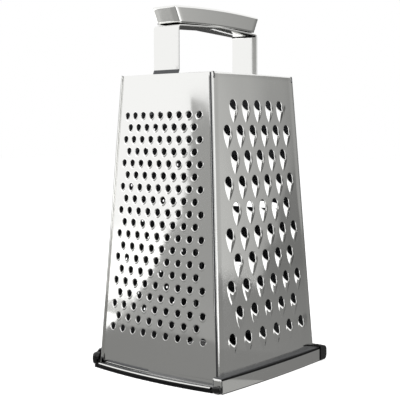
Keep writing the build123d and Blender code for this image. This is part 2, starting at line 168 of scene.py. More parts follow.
# %% [markdown]
# Colours are written as the hex values that a picture editor shows, and one function turns
# them into the linear numbers that the renderer works in. Patterns are given by the distance
# between their features on the real thing. A last helper adds one shader node.
# %% Helpers for materials
def linear(hex_colour):
    """The linear colour of an sRGB hex value: each channel raised by the sRGB curve."""
    value = hex_colour.lstrip("#")
    channels = np.array([int(value[k:k + 2], 16) / 255 for k in (0, 2, 4)])
    curve = np.where(channels <= 0.04045, channels / 12.92, ((channels + 0.055) / 1.055) ** 2.4)
    return (*curve.tolist(), 1.0)


def per_metre(spacing_mm):
    """The Scale of a pattern from the spacing of its features: how many fit in a metre."""
    return 1000.0 / spacing_mm


def node(tree, kind, settings=(), links=(), **values):
    """Add a node: its settings, its constant inputs by name, and the sockets that feed it."""
    new = tree.nodes.new(kind)
    for key, value in dict(settings).items():
        setattr(new, key, value)
    for key, value in values.items():
        new.inputs[key.replace("_", " ")].default_value = value
    for key, source in dict(links).items():
        tree.links.new(source, new.inputs[key])
    return new


def new_material(name):
    """An empty node material with its output node."""
    material = bpy.data.materials.new(name)
    material.use_nodes = True
    tree = material.node_tree
    tree.nodes.clear()
    return material, tree, tree.nodes.new("ShaderNodeOutputMaterial")


print("mid grey in linear light", linear("#808080")[0])

# %% [markdown]
# The body is stainless steel sheet that was polished to a mirror before it was pressed. Such
# sheet is never quite flat: long soft waves bend what it reflects. Fingerprints and washing
# leave faint clouds of haze, and polishing leaves hair lines that run up the sheet. A plain
# metal shader would look like a computer's mirror, so all three are laid over it as noise.
# %% Mirror-polished stainless steel
wave_spacing, haze_spacing = 45.45, 22.22
# Real hair lines are finer still; these are drawn about as coarse as they can show
hair_spacing, hair_depth = 0.357, 0.00002
haze_spread = 1.9


def polished_steel(name, tone, wave_depth, haze):
    """Polished sheet: a long-wave bump for the pressed sheet, and haze in its roughness."""
    material, tree, output = new_material(name)
    place = node(tree, "ShaderNodeTexCoord")
    waves = node(tree, "ShaderNodeTexNoise", Scale=per_metre(wave_spacing), Detail=1.0, Roughness=0.4,
                 links={"Vector": place.outputs["Object"]})
    # The hair lines are a fine noise stretched fifty times up the sheet
    stretch = node(tree, "ShaderNodeMapping", Scale=(1.0, 1.0, 0.02),
                   links={"Vector": place.outputs["Object"]})
    hair = node(tree, "ShaderNodeTexNoise", Scale=per_metre(hair_spacing), Detail=1.0,
                links={"Vector": stretch.outputs["Vector"]})
    cloud = node(tree, "ShaderNodeTexNoise", Scale=per_metre(haze_spacing), Detail=4.0, Roughness=0.6,
                 links={"Vector": place.outputs["Object"]})
    rough = node(tree, "ShaderNodeMapRange", From_Min=0.35, From_Max=0.7,
                 To_Min=haze, To_Max=haze * haze_spread, links={"Value": cloud.outputs["Fac"]})
    waved = node(tree, "ShaderNodeBump", Strength=1.0, Distance=wave_depth,
                 links={"Height": waves.outputs["Fac"]})
    lined = node(tree, "ShaderNodeBump", Strength=0.05, Distance=hair_depth,
                 links={"Height": hair.outputs["Fac"], "Normal": waved.outputs["Normal"]})
    shader = node(tree, "ShaderNodeBsdfPrincipled", Base_Color=linear(tone), Metallic=1.0,
                  links={"Roughness": rough.outputs["Result"], "Normal": lined.outputs["Normal"]})
    tree.links.new(shader.outputs["BSDF"], output.inputs["Surface"])
    return material


# The wide panels wave most; the strap and the rims are thick and narrow, so they stay flat
panel_steel = polished_steel("mirror_polished_stainless_sheet", "#f4f4f2", 0.0008, 0.06)
handle_steel = polished_steel("mirror_polished_stainless_strap", "#f2f2f0", 0.0001, 0.05)
rim_steel = polished_steel("mirror_polished_stainless_rim", "#e8e8e6", 0.0001, 0.07)
print("polished steels made")

# %% [markdown]
# Inside, the sheet is dull rolled steel from the mill, and its tone is darkened as painted shade
# for the closed inside of the box, so the holes look almost black. It is the same metal, only
# darker and rougher, with the faint lines that the rolls leave. The same dark steel serves below
# as painted shade on chosen faces.
# %% Rolled stainless steel inside the body, darkened as painted shade
roll_line_spacing = 0.667


def rolled_steel_as_shade():
    """Rolled sheet, rough, with fine drawn lines along the rolling direction; its dark tone is painted
    shade.
    """
    material, tree, output = new_material("rolled_stainless_and_painted_shade")
    place = node(tree, "ShaderNodeTexCoord")
    stretch = node(tree, "ShaderNodeMapping", Scale=(1.0, 1.0, 0.05),
                   links={"Vector": place.outputs["Object"]})
    lines = node(tree, "ShaderNodeTexNoise", Scale=per_metre(roll_line_spacing), Detail=2.0,
                 links={"Vector": stretch.outputs["Vector"]})
    rough = node(tree, "ShaderNodeMapRange", To_Min=0.38, To_Max=0.55,
                 links={"Value": lines.outputs["Fac"]})
    # The dark base tone is painted shade for the closed inside of the box, on dull rolled steel
    shader = node(tree, "ShaderNodeBsdfPrincipled", Base_Color=linear("#5f6062"), Metallic=1.0,
                  links={"Roughness": rough.outputs["Result"]})
    tree.links.new(shader.outputs["BSDF"], output.inputs["Surface"])
    return material


rolled_steel_and_shade = rolled_steel_as_shade()
print("rolled steel made")

# %% [markdown]
# The foot strip and the end pieces are black moulded ABS. The strip has the fine spark-eroded
# grain of its mould, which scatters light; the end pieces come from a smoother mould and shine.
# One recipe with a few numbers serves both, as one plastic does in the real parts.
# %% Black moulded plastic
grain_spacing, grain_depth = 0.4, 0.00003
abs_ior = 1.53


def moulded_plastic(name, tone, roughness, grain, gloss):
    """Moulded ABS: dark, with mould grain as a bump and in its roughness."""
    material, tree, output = new_material(name)
    place = node(tree, "ShaderNodeTexCoord")
    speck = node(tree, "ShaderNodeTexNoise", Scale=per_metre(grain_spacing), Detail=2.0,
                 links={"Vector": place.outputs["Object"]})
    rough = node(tree, "ShaderNodeMapRange", To_Min=roughness * 0.8, To_Max=roughness * 1.3,
                 links={"Value": speck.outputs["Fac"]})
    bump = node(tree, "ShaderNodeBump", Strength=grain, Distance=grain_depth,
                links={"Height": speck.outputs["Fac"]})
    shader = node(tree, "ShaderNodeBsdfPrincipled", Base_Color=linear(tone), IOR=abs_ior,
                  Specular_IOR_Level=gloss,
                  links={"Roughness": rough.outputs["Result"], "Normal": bump.outputs["Normal"]})
    tree.links.new(shader.outputs["BSDF"], output.inputs["Surface"])
    return material


strip_plastic = moulded_plastic("black_moulded_abs_strip", "#0d0d0e", 0.45, 0.5, 0.12)
end_plastic = moulded_plastic("black_moulded_abs_end_piece", "#0a0a0b", 0.14, 0.15, 0.5)
print("black plastics made")

# %% [markdown]
# Each panel is one sheet. It is easiest to think of it laid flat: s runs across, v runs up,
# and lift is how far a point was pressed out of the sheet. Two wrap functions then carry the
# flat sheet round its bends and folds into its place. A box with bevelled edges would be
# quicker, but its teeth could not run on into the bends as those of one pressed sheet do.
# %% Where a flat sheet goes
def over_the_top(v):
    """Height and set-back near the top edge: up, over in a half circle, and down inside."""
    turn = np.clip((v - fold_start) / sheet, 0.0, math.pi)
    down = np.maximum(v - fold_start - math.pi * sheet, 0.0)
    z = np.minimum(v, fold_start) + sheet * np.sin(turn) - down
    return z, sheet * (1 - np.cos(turn))


def place_points(side, across, outward, z):
    """Points from how far right, how far out and how high they are, seen from outside."""
    out = SIDES[side]
    right = np.cross(UP, out)
    return across[..., None] * right + outward[..., None] * out + z[..., None] * UP


def across_the_face(s, chord, bow):
    """Share of the half chord, what is left past it, and how far the bowed face turns.

    The bow is a parabola, so its turn is the arc tangent of twice the bow over the chord.
    """
    share = np.clip(s / chord, -1.0, 1.0)
    over = np.maximum(np.abs(s) - chord, 0.0)
    return share, over, np.arctan(2 * bow * share / chord)


print("a point 10 mm past the fold stands at", over_the_top(np.array(body_top + 10.0))[0], "mm")


# %% [markdown]
# The front and back sheets bend round into flanges that lie behind the edges of the sides. The
# side sheets end in a flat land whose edge is folded back on itself, which is called a hem.
# %% Wrap a flat sheet into a panel
def bent_chord(z):
    """Half the width of the bowed face of the front and the back, between their bends."""
    return half_width(z) - 2 * sheet - bend_radius


def hemmed_chord(z):
    """Half the width of the bowed face of a side, between its flat lands."""
    return half_depth(z) - land_width


def wrap_bent(side, s, v, lift):
    """A bowed face, a quarter-round bend at each edge and a return flange behind it."""
    slip = seam_gap if side == "front" else 0.0
    z, back_off = over_the_top(v)
    chord = bent_chord(z)
    bow = between(front_bow_low, front_bow_high, z)
    share, over, lean = across_the_face(s, chord, bow)
    turn = np.minimum(over / bend_radius, math.pi / 2)
    rest = np.maximum(over - bend_radius * math.pi / 2, 0.0)
    facing = np.where(over > 0, np.sign(s) * turn, lean)
    across = share * chord + np.sign(s) * bend_radius * np.sin(turn)
    outward = half_depth(z) + bow * (1 - share**2) - bend_radius * (1 - np.cos(turn)) - rest
    lift = lift - back_off
    return place_points(side, across - slip + lift * np.sin(facing), outward + lift * np.cos(facing), z)


def wrap_hemmed(side, s, v, lift):
    """A bowed face, a flat land at each edge, and the edge folded flat behind it."""
    z, back_off = over_the_top(v)
    chord = hemmed_chord(z)
    bow = between(side_bow_low, side_bow_high, z)
    share, over, lean = across_the_face(s, chord, bow)
    flat = np.minimum(over, hem_nose)
    turn = np.clip((over - hem_nose) / sheet, 0.0, math.pi)
    rest = np.maximum(over - hem_nose - math.pi * sheet, 0.0)
    facing = np.where(over > hem_nose, np.sign(s) * turn, np.where(over > 0, 0.0, lean))
    across = share * chord + np.sign(s) * (flat + sheet * np.sin(turn) - rest)
    outward = half_width(z) + bow * (1 - share**2) - sheet * (1 - np.cos(turn))
    lift = lift - back_off
    return place_points(side, across + lift * np.sin(facing), outward + lift * np.cos(facing), z)


print("bowed faces at the foot", 2 * bent_chord(foot), "and", 2 * hemmed_chord(foot), "mm wide")


# %% [markdown]
# A tooth is a hole whose lower edge was pressed outward. On the flat sheet it takes up one
# block of the grid. The block's own cells are left out, and rings of points are drawn from
# the block's edge in to the hole's edge, so each tooth joins the sheet without a seam. Cutting
# the holes with Boolean modifiers would be slower and would leave no edge to press outward.
# %% Punch teeth into a flat sheet
def block_edge(cells_up, cells_across):
    """Row and column steps round the edge of a block, anticlockwise from its lower left."""
    low = [(0, i) for i in range(cells_across)]
    right = [(j, cells_across) for j in range(cells_up)]
    top = [(cells_up, cells_across - i) for i in range(cells_across)]
    left = [(cells_up - j, 0) for j in range(cells_up)]
    return np.array(low + right + top + left)


def punch(s, v, corners, cells, rings):
    """Leave out the blocks at the given corners of the flat grid and draw rings in them.

    rings(c, e) gives across, up and outward steps of each ring from outside in, where
    (c, e) runs round the unit circle in step with the points on the block's edge: a square
    turns into a circle when each coordinate shrinks by the root of 1 - other**2 / 2.
    """
    rows, columns = s.shape
    cells_up, cells_across = cells
    taken = np.zeros((rows - 1, columns - 1), dtype=bool)
    for j, i in corners:
        taken[j:j + cells_up, i:i + cells_across] = True
    faces = grid_faces(rows, columns)[~taken.ravel()]
    edge = block_edge(cells_up, cells_across)
    up = edge[:, 0] / cells_up * 2 - 1
    across = edge[:, 1] / cells_across * 2 - 1
    steps = rings(across * np.sqrt(1 - up**2 / 2), up * np.sqrt(1 - across**2 / 2))
    corners = np.array(corners)
    middle = corners + np.array([cells_up // 2, cells_across // 2])
    middle_s = s[middle[:, 0], middle[:, 1]]
    middle_v = v[middle[:, 0], middle[:, 1]]
    ring_s = middle_s[:, None, None] + steps[None, :, 0, :]
    ring_v = middle_v[:, None, None] + steps[None, :, 1, :]
    ring_lift = np.broadcast_to(steps[None, :, 2, :], ring_s.shape)
    outer = (corners[:, None, 0] + edge[None, :, 0]) * columns + corners[:, None, 1] + edge[None, :, 1]
    inner = rows * columns + np.arange(ring_s.size).reshape(ring_s.shape)
    loops = np.concatenate([outer[:, None, :], inner], axis=1)
    after = np.roll(loops, -1, axis=2)
    tooth_faces = np.stack([loops[:, :-1], after[:, :-1], after[:, 1:], loops[:, 1:]], axis=-1)
    flat_s = np.concatenate([s.ravel(), ring_s.ravel()])
    flat_v = np.concatenate([v.ravel(), ring_v.ravel()])
    lift = np.concatenate([np.zeros(s.size), ring_lift.ravel()])
    faces = np.concatenate([faces, tooth_faces.reshape(-1, 4)])
    used, faces = np.unique(faces, return_inverse=True)
    return flat_s[used], flat_v[used], lift[used], faces.reshape(-1, 4)


print("points round a block of 4 by 4 cells", len(block_edge(4, 4)))


# %% [markdown]
# The press lifts the metal below each hole into a small hood. Its rings run from the outline
# of the pressed area, the footprint, to the outline of the hole. One ring lies just outside
# the footprint and stays flat, so that the sheet between two teeth keeps a clean reflection.
# %% The shape of one tooth
def pressed_tooth(hole, footprint, rise, dent, shares, swell, ridge, lean=0.0):
    """Rings of one tooth, from a flat guard ring outside its footprint in to the hole's edge.

    A ring is part of the way from the footprint's outline (share 0) to the hole's outline
    (share 1); a share below 0 lies outside the footprint. Below the middle the sheet is lifted
    toward the hole, most at the hole's lowest point; above the middle it is dented inward.
    The footprint narrows by pinch toward its lower end and is wider by lean on its right.
    """
    hole_half, hole_tall, hole_up = hole
    foot_half, foot_up, foot_down, pinch = footprint

    def rings(c, e):
        below = np.maximum(-e, 0.0)
        above = np.maximum(e, 0.0)
        foot_u = foot_half * c * (1 - pinch * below**2) * (1 + lean * np.maximum(c, 0.0))
        foot_w = np.where(e < 0, foot_down, foot_up) * e
        out = []
        for share in shares:
            inner = max(share, 0.0)
            outer = (1 - inner) * (1 + max(-share, 0.0))
            u = hole_half * c * inner + foot_u * outer
            w = hole_up + hole_tall * e * inner + foot_w * outer
            slope = inner**swell
            lift = rise * slope * below**ridge - dent * slope * above
            out.append(np.stack([u, w, lift]))
        return np.stack(out)
    return rings


print("tooth recipe ready")


# %% [markdown]
# The walls of a panel are one sheet thick. Solidify gives the sheet its thickness inward and
# closes the edge of every hole, and the inner skin takes the dull rolled steel, darkened as painted shade.
# %% Give a sheet its thickness
def thicken(piece, thickness=sheet, dull_rim=False, quality_normals=True):
    """Solidify inward by the thickness, with the second material on the inner skin."""
    wall = piece.modifiers.new("sheet thickness", "SOLIDIFY")
    wall.thickness = thickness * MM
    wall.offset = -1.0
    wall.material_offset = 1
    wall.material_offset_rim = int(dull_rim)
    wall.use_quality_normals = quality_normals


def press_panel(name, wrap, side, grid, corners, cells, rings):
    """Punch the flat sheet, wrap it into its place in the body and give it its thickness."""
    flat_s, flat_v, lift, faces = punch(*grid, corners, cells, rings)
    panel = make_piece(
        f"{name}_sheet", wrap(side, flat_s, flat_v, lift), faces,
        [panel_steel, rolled_steel_and_shade], name,
    )
    thicken(panel)
    return panel


print("sheet thickness", sheet, "mm")


# %% [markdown]
# The teeth fan out toward the foot because the sheet does. So the grid's columns are worked
# out anew for each row: equal cells under the teeth, a margin, and then the same steps round
# the bend or the hem at every height.
# %% Rows and columns of the flat sheets
def fan_columns(pitch_at, cells_per_pitch, cells_each_way, chord_at, margins, edge_steps):
    """Columns of a sheet at a height: tooth cells that fan out, margins, then the edge."""
    def columns(z):
        cells = np.arange(-cells_each_way, cells_each_way + 1) * pitch_at(z) / cells_per_pitch
        chord = chord_at(z)
        share = np.arange(1, margins + 1) / margins
        right = np.concatenate([cells[-1] + (chord - cells[-1]) * share, chord + edge_steps])
        return np.concatenate([-right[::-1], cells, right])
    return columns


def sheet_grid(rows_v, columns):
    """The flat grid: s from the columns at each row's height, and v from the rows."""
    z = over_the_top(rows_v)[0]
    s = np.stack([columns(height) for height in z])
    print(f"flat sheet {np.ptp(s[0]):.1f} mm wide at its foot, {np.ptp(s[-1]):.1f} mm at its top,",
          f"{np.ptp(rows_v):.1f} mm tall")
    return s, np.repeat(rows_v[:, None], s.shape[1], axis=1)


fold_rows = fold_start + sheet * np.linspace(0, math.pi, 5)[1:]
top_rows = np.concatenate([[fold_start], fold_rows, [fold_rows[-1] + turn_down]])
bend_arc = bend_radius * math.pi / 2
bend_steps = np.concatenate([
    bend_radius * np.linspace(0, math.pi / 2, 7)[1:],
    [bend_arc + flange / 2, bend_arc + flange],
])
land_steps = [1.5, 3.0]
hem_steps = np.concatenate([
    land_steps, [hem_nose], hem_nose + sheet * np.linspace(0, math.pi, 7)[1:],
    [hem_nose + sheet * math.pi + hem_return],
])
print("rows over the top", len(top_rows))


# %% [markdown]
# Three of the four panels have rows of teeth in two counts by turns, like bricks. They share
# the layout below and differ only in their numbers, as the real press tools do.
# %% The layout of rows of teeth
def tooth_rows(lowest, step, rows, cells, foot_cells, head_cells):
    """Heights of the grid's rows: even below the teeth, cells to each step, even above."""
    start = lowest - step / 2
    teeth = start + step / cells * np.arange(rows * cells + 1)
    below = np.linspace(foot, start, foot_cells + 1)[:-1]
    above = np.linspace(teeth[-1], fold_start, head_cells + 1)[1:-1]
    return np.concatenate([below, teeth, above, top_rows])


def pitch_between(low_pitch, high_pitch, low, high):
    """The distance between teeth at a height, which changes evenly from row to row."""
    return lambda z: low_pitch + (high_pitch - low_pitch) * (z - low) / (high - low)


def brick_corners(grid, rows, cells, foot_cells, top_count, next_count):
    """Lower left corner of each tooth's block, with the rows centred on the sheet."""
    middle_column = grid[0].shape[1] // 2
    corners = []
    for row in range(rows):
        count = top_count if (rows - 1 - row) % 2 == 0 else next_count
        first = middle_column - count * cells // 2
        corners += [(foot_cells + cells * row, first + cells * k) for k in range(count)]
    return corners


print("tooth layout ready")

# %% [markdown]
# The front panel has nineteen rows of fine holes, nine and eight by turns. They were pressed
# while the sheet was flat, and the rows spread with the taper, so the distance between holes
# grows toward the foot.
# %% The fine panel
fine_rows, fine_step, fine_top = 19, 7.8, 168.1
fine_low = fine_top - fine_step * (fine_rows - 1)
fine_pitch = pitch_between(9.72, 7.72, fine_low, fine_top)
fine_lift = 0.9
fine_cells, fine_foot_cells, fine_head_cells = 4, 6, 6
fine_tooth = pressed_tooth(
    hole=(2.15, 2.35, fine_lift), footprint=(3.0, 2.75, 3.5, 0.3), rise=0.45, dent=0.25,
    shares=(-0.08, 0.0, 0.5, 1.0), swell=1.5, ridge=0.7,
)
fine_grid = sheet_grid(
    tooth_rows(fine_low - fine_lift, fine_step, fine_rows, fine_cells, fine_foot_cells, fine_head_cells),
    fan_columns(fine_pitch, fine_cells, 18, bent_chord, 3, bend_steps),
)
fine_panel = press_panel(
    "fine_panel", wrap_bent, "front", fine_grid,
    brick_corners(fine_grid, fine_rows, fine_cells, fine_foot_cells, 9, 8),
    (fine_cells, fine_cells), fine_tooth,
)

# %% [markdown]
# Between the front and the right panel runs a dark line, the shade in the seam's gap. The bend's
# inner part and the flange, which turn into the gap, get the dark steel as painted shade.
# %% Painted shade on the side of the seam
least_turn, least_set_back = 0.4, 0.1 * bend_radius
middles, facing = face_arrays(fine_panel)
set_back = half_depth(middles[:, 2]) + middles[:, 1]
turned_right = (middles[:, 0] > 0) & (facing[:, 0] > least_turn)
# Painted shade: the bend's faces that turn into the seam's gap
paint_shade_on(fine_panel, turned_right & (set_back > least_set_back))

# %% [markdown]
# At its foot the front sheet flares forward in a small cove into a flat lip with a round edge.
# It is a profile carried along the foot of the bowed face. A bevelled strip would do from
# afar, but only the cove and the round edge catch the two thin lines of light that it shows.
# %% The lip at the foot of the fine panel
lip_start, cove_top, cove_radius = 5.8, 2.5, 0.5
edge_middle, edge_radius, lip_tuck = 2.4, 0.6, 0.3
# The face's bow ends at face_half; the lip's own edge is a flatter arc, farther out
face_half = 48.4
lip_arc_side, lip_arc_bow, lip_arc_half = 56.2, 5.2, 57.3


def lip_profile(reach):
    """Set-out and height of the profile: down the cove, out flat, round the edge, and back."""
    cove = np.linspace(0, math.pi / 2, 8)
    edge = np.linspace(0, math.pi, 9)
    cove_out = np.concatenate([[0.0], cove_radius * (1 - np.cos(cove))])
    cove_z = np.concatenate([[lip_start], cove_top - cove_radius * np.sin(cove)])
    edge_out = reach[:, None] - edge_radius + edge_radius * np.sin(edge)
    edge_z = edge_middle + edge_radius * np.cos(edge)
    out = np.concatenate([
        np.broadcast_to(cove_out, (len(reach), len(cove_out))), edge_out,
        np.full((len(reach), 1), -lip_tuck),
    ], axis=1)
    return out, np.broadcast_to(np.concatenate([cove_z, edge_z, [foot]]), out.shape)


lip_x = np.linspace(-47.6, 48.2, 61)
face_bow = front_bow_low * (1 - (lip_x / face_half) ** 2)
lip_edge = lip_arc_side + lip_arc_bow * (1 - (lip_x / lip_arc_half) ** 2)
lip_out, lip_z = lip_profile(lip_edge - half_depth(edge_middle + edge_radius) - face_bow)
lip_y = -(half_depth(lip_z) + face_bow[:, None] + lip_out)
lip_points = np.stack([np.repeat(lip_x[:, None], lip_out.shape[1], axis=1), lip_y, lip_z], axis=-1)
lip = make_piece(
    "fine_panel_lip", lip_points, grid_faces(*lip_points.shape[:2]),
    [panel_steel, rolled_steel_and_shade], None, outward=True,
)

# The trough behind the rolled edge gets the dark steel as painted shade, so the edge stands out as one
# bright line
trough_level, trough_reach, level_enough = 2.3, 0.25, 0.5
middles, facing = face_arrays(lip)
in_trough = np.abs(middles[:, 2] - trough_level) < trough_reach
paint_shade_on(lip, in_trough & (facing[:, 2] > level_enough))

# %% [markdown]
# The foot of the right and of the left panel turns out flat over the black ridge, so that only
# a thin black line shows between the sheet and the steel band. It is a narrow flat strip: its
# inner edge follows the bowed panel and its outer edge is straight.
# %% The turned-out feet of the side panels
skirt_level, skirt_edge, skirt_tuck = 9.25, 56.4, 0.4
skirt_back = 50.0
skirt_share = np.linspace(0.0, 1.0, 5)
for side, name, skirt_front in ((1, "right", -56.3), (-1, "left", -48.8)):
    skirt_y = np.linspace(skirt_front, skirt_back, 49)
    sheet_x = half_width(skirt_level) + side_bow_low * (1 - (skirt_y / half_depth(skirt_level)) ** 2)
    skirt_width = skirt_edge - sheet_x[:, None] + skirt_tuck
    skirt_x = sheet_x[:, None] - skirt_tuck + skirt_width * skirt_share
    skirt_points = np.stack([
        side * skirt_x, np.repeat(skirt_y[:, None], len(skirt_share), axis=1),
        np.full(skirt_x.shape, skirt_level),
    ], axis=-1)
    # Both faces take the dark steel, as painted shade under the panel's foot
    skirt = make_piece(
        f"{name}_panel_foot", skirt_points, grid_faces(*skirt_x.shape),
        [rolled_steel_and_shade, rolled_steel_and_shade], None,
    )
    thicken(skirt)

# %% [markdown]
# The right panel has ten rows of large hooded teeth, five and six by turns. Their footprints
# are long and narrow below the hole and a little wider on the right, because the press leaves
# a soft slope there that catches the light.
# %% The coarse panel
coarse_rows, coarse_step, coarse_top = 10, 16.16, 174.6
coarse_low = coarse_top - coarse_step * (coarse_rows - 1)
coarse_pitch = pitch_between(15.09, 12.62, coarse_low, coarse_top)
coarse_lift = 4.2
coarse_cells, coarse_foot_cells, coarse_head_cells = 6, 6, 5
coarse_tooth = pressed_tooth(
    hole=(3.2, 3.5, coarse_lift), footprint=(4.0, 3.75, 11.9, 0.55), rise=1.9, dent=0.05,
    shares=(-0.015, 0.0, 0.2, 0.4, 0.6, 0.8, 1.0), swell=1.25, ridge=1.4, lean=0.5,
)
coarse_grid = sheet_grid(
    tooth_rows(coarse_low - coarse_lift, coarse_step, coarse_rows, coarse_cells,
               coarse_foot_cells, coarse_head_cells),
    fan_columns(coarse_pitch, coarse_cells, 18, hemmed_chord, 2, hem_steps),
)
coarse_panel = press_panel(
    "coarse_panel", wrap_hemmed, "right", coarse_grid,
    brick_corners(coarse_grid, coarse_rows, coarse_cells, coarse_foot_cells, 5, 6),
    (coarse_cells, coarse_cells), coarse_tooth,
)

# %% [markdown]
# The back panel has three long slicing slots, each with a raised blade below it. A slot is a
# tooth too, only long: its block is 8 cells tall and 24 wide, its outlines are rounded
# rectangles, and the metal below it rises as one even ramp to a straight cutting edge.
# %% The slicer panel
slot_count, slot_step, slot_top = 3, 46.0, 150.0
slot_cell, cells_below, cells_above, slot_cells_across = 3.0, 5, 3, 24
slot_foot_cells, slot_gap_cells = 7, 5
slot_cells_up = cells_below + cells_above
# Half the length, the height above the slot's middle and the depth below it, in millimetres
slot_footprint, slot_hole = (30.5, 5.5, 12.0), (27.5, 4.0, 1.2)
slot_middle, blade_lift = 3.0, 2.4


def slot_rings(c, e):
    """Rings of one slot: outlines that shrink from the footprint's to the slot's own.

    A power below 1 squares off the circle. Below the middle the ring rises with its share,
    and 1 - (1 - below)**3 spreads that rise evenly along the blade.
    """
    below = np.maximum(-e, 0.0)
    long_c = np.sign(c) * np.abs(c) ** 0.55
    tall_e = np.sign(e) * np.abs(e) ** 0.75
    out = []
    for share in (-0.06, 0.0, 0.35, 0.7, 0.93, 1.0):
        half, up, down = (wide * (1 - share) + tight * share
                          for wide, tight in zip(slot_footprint, slot_hole))
        w = slot_middle + np.where(e < 0, down, up) * tall_e
        lift = blade_lift * max(share, 0.0) * (1 - (1 - below) ** 3)
        out.append(np.stack([half * long_c, w, lift]))
    return np.stack(out)


slot_v = [slot_top - slot_step * k for k in range(slot_count)][::-1]
slot_starts = [v - cells_below * slot_cell for v in slot_v] + [fold_start]
slot_rows_v = [np.linspace(foot, slot_starts[0], slot_foot_cells + 1)[:-1]]
for v, next_start in zip(slot_v, slot_starts[1:]):
    slot_rows_v.append(v + slot_cell * np.arange(-cells_below, cells_above + 1))
    slot_rows_v.append(np.linspace(v + cells_above * slot_cell, next_start, slot_gap_cells + 1)[1:-1])
slot_grid = sheet_grid(
    np.concatenate([*slot_rows_v, top_rows]),
    fan_columns(bent_chord, 14, slot_cells_across // 2, bent_chord, 1, bend_steps),
)
slot_left = slot_grid[0].shape[1] // 2 - slot_cells_across // 2
slot_corners = [
    (slot_foot_cells + (slot_cells_up + slot_gap_cells) * k, slot_left) for k in range(slot_count)
]
slicer_panel = press_panel(
    "slicer_panel", wrap_bent, "back", slot_grid, slot_corners,
    (slot_cells_up, slot_cells_across), slot_rings,
)

# %% [markdown]
# The left panel has small spikes: each hole was burst outward from behind into four points.
# A punch with a square tip tears the sheet like this, so the crown's height follows the
# cosine of twice the angle round the hole, which peaks four times.
# %% The zester panel
spike_rows, spike_step, spike_top = 12, 12.8, 172.0
spike_low = spike_top - spike_step * (spike_rows - 1)
spike_pitch = pitch_between(15.4, 12.6, spike_low, spike_top)
spike_cells, spike_foot_cells, spike_head_cells = 4, 5, 5
# Radius, lift and height of the torn points of each ring, from the flat guard ring inward
spike_profile = ((3.1, 0.0, 0.0), (2.7, 0.0, 0.0), (1.9, 0.7, 0.0), (1.25, 1.1, 0.45))


def spike_rings(c, e):
    """Rings of one spike: a low mound that ends in a square crown with four torn points."""
    torn = np.abs(np.cos(2 * np.arctan2(e, c))) ** 2
    rings = [np.stack([radius * c, radius * e, lift + height * torn])
             for radius, lift, height in spike_profile]
    return np.stack(rings)


spike_grid = sheet_grid(
    tooth_rows(spike_low, spike_step, spike_rows, spike_cells, spike_foot_cells, spike_head_cells),
    fan_columns(spike_pitch, spike_cells, 10, hemmed_chord, 3, hem_steps),
)
zester_panel = press_panel(
    "zester_panel", wrap_hemmed, "left", spike_grid,
    brick_corners(spike_grid, spike_rows, spike_cells, spike_foot_cells, 5, 4),
    (spike_cells, spike_cells), spike_rings,
)


# %% [markdown]
# The handle is a flat steel strap. Its tabs are welded inside the front and back panels; from
# there it steps in over the top edge, rises, bends sharply and runs across to the other side.
# A strap is a section carried along a path. A Blender curve with a bevel profile would do the
# same, but arrays keep the section square to the path and need no conversion to a mesh.
# %% Helpers for the strap
nearly_straight, most_of_a_leg = 0.01, 0.45


def round_corners(points, radius, steps):
    """A path whose corners are arcs: each corner's arc starts and ends where it is tangent."""
    points = np.asarray(points, dtype=float)
    path = [points[0]]
    for before, corner, after in zip(points, points[1:], points[2:]):
        back_length, on_length = np.linalg.norm(before - corner), np.linalg.norm(after - corner)
        back, on = (before - corner) / back_length, (after - corner) / on_length
        half = math.acos(np.clip(np.dot(back, on), -1, 1)) / 2
        if half > math.pi / 2 - nearly_straight:
            path.append(corner)
            continue
        shorter_leg = min(back_length, on_length)
        cut = min(radius / math.tan(half), shorter_leg * most_of_a_leg)
        true_radius = cut * math.tan(half)
        centre = corner + (back + on) / np.linalg.norm(back + on) * true_radius / math.sin(half)
        start, end = corner + back * cut - centre, corner + on * cut - centre
        swing = math.atan2(start[0] * end[1] - start[1] * end[0], np.dot(start, end))
        for turn in swing * np.linspace(0, 1, steps):
            path.append(centre + np.array([
                start[0] * math.cos(turn) - start[1] * math.sin(turn),
                start[0] * math.sin(turn) + start[1] * math.cos(turn),
            ]))
    path.append(points[-1])
    return np.array(path)


def strap_section(half, thick, edge, steps):
    """Round the strap's section: flat outside and inside, with softly rounded edges."""
    turn = np.linspace(0, math.pi / 2, steps)
    arc = np.stack([np.cos(turn), np.sin(turn)], axis=1) * edge
    right_top = np.array([half - edge, -edge]) + arc
    left_top = np.array([-half + edge, -edge]) + arc[::-1] * [-1, 1]
    left_low = np.array([-half + edge, -thick + edge]) + arc * [-1, -1]
    right_low = np.array([half - edge, -thick + edge]) + arc[::-1] * [1, -1]
    return np.concatenate([right_top, left_top, left_low, right_low])


def carry(path, section):
    """Carry a section along a path in the plane across Y: across is X, and out is the normal."""
    step = np.gradient(path, axis=0)
    step /= np.linalg.norm(step, axis=1)[:, None]
    normal = np.stack([-step[:, 1], step[:, 0]], axis=1)
    across = np.broadcast_to(section[None, :, 0], (len(path), len(section)))
    lifted = path[:, None, :] + normal[:, None, :] * section[None, :, 1, None]
    return np.concatenate([across[..., None], lifted], axis=-1)


section = strap_section(half=10.75, thick=1.2, edge=0.35, steps=4)
print("points round the strap's section", len(section))

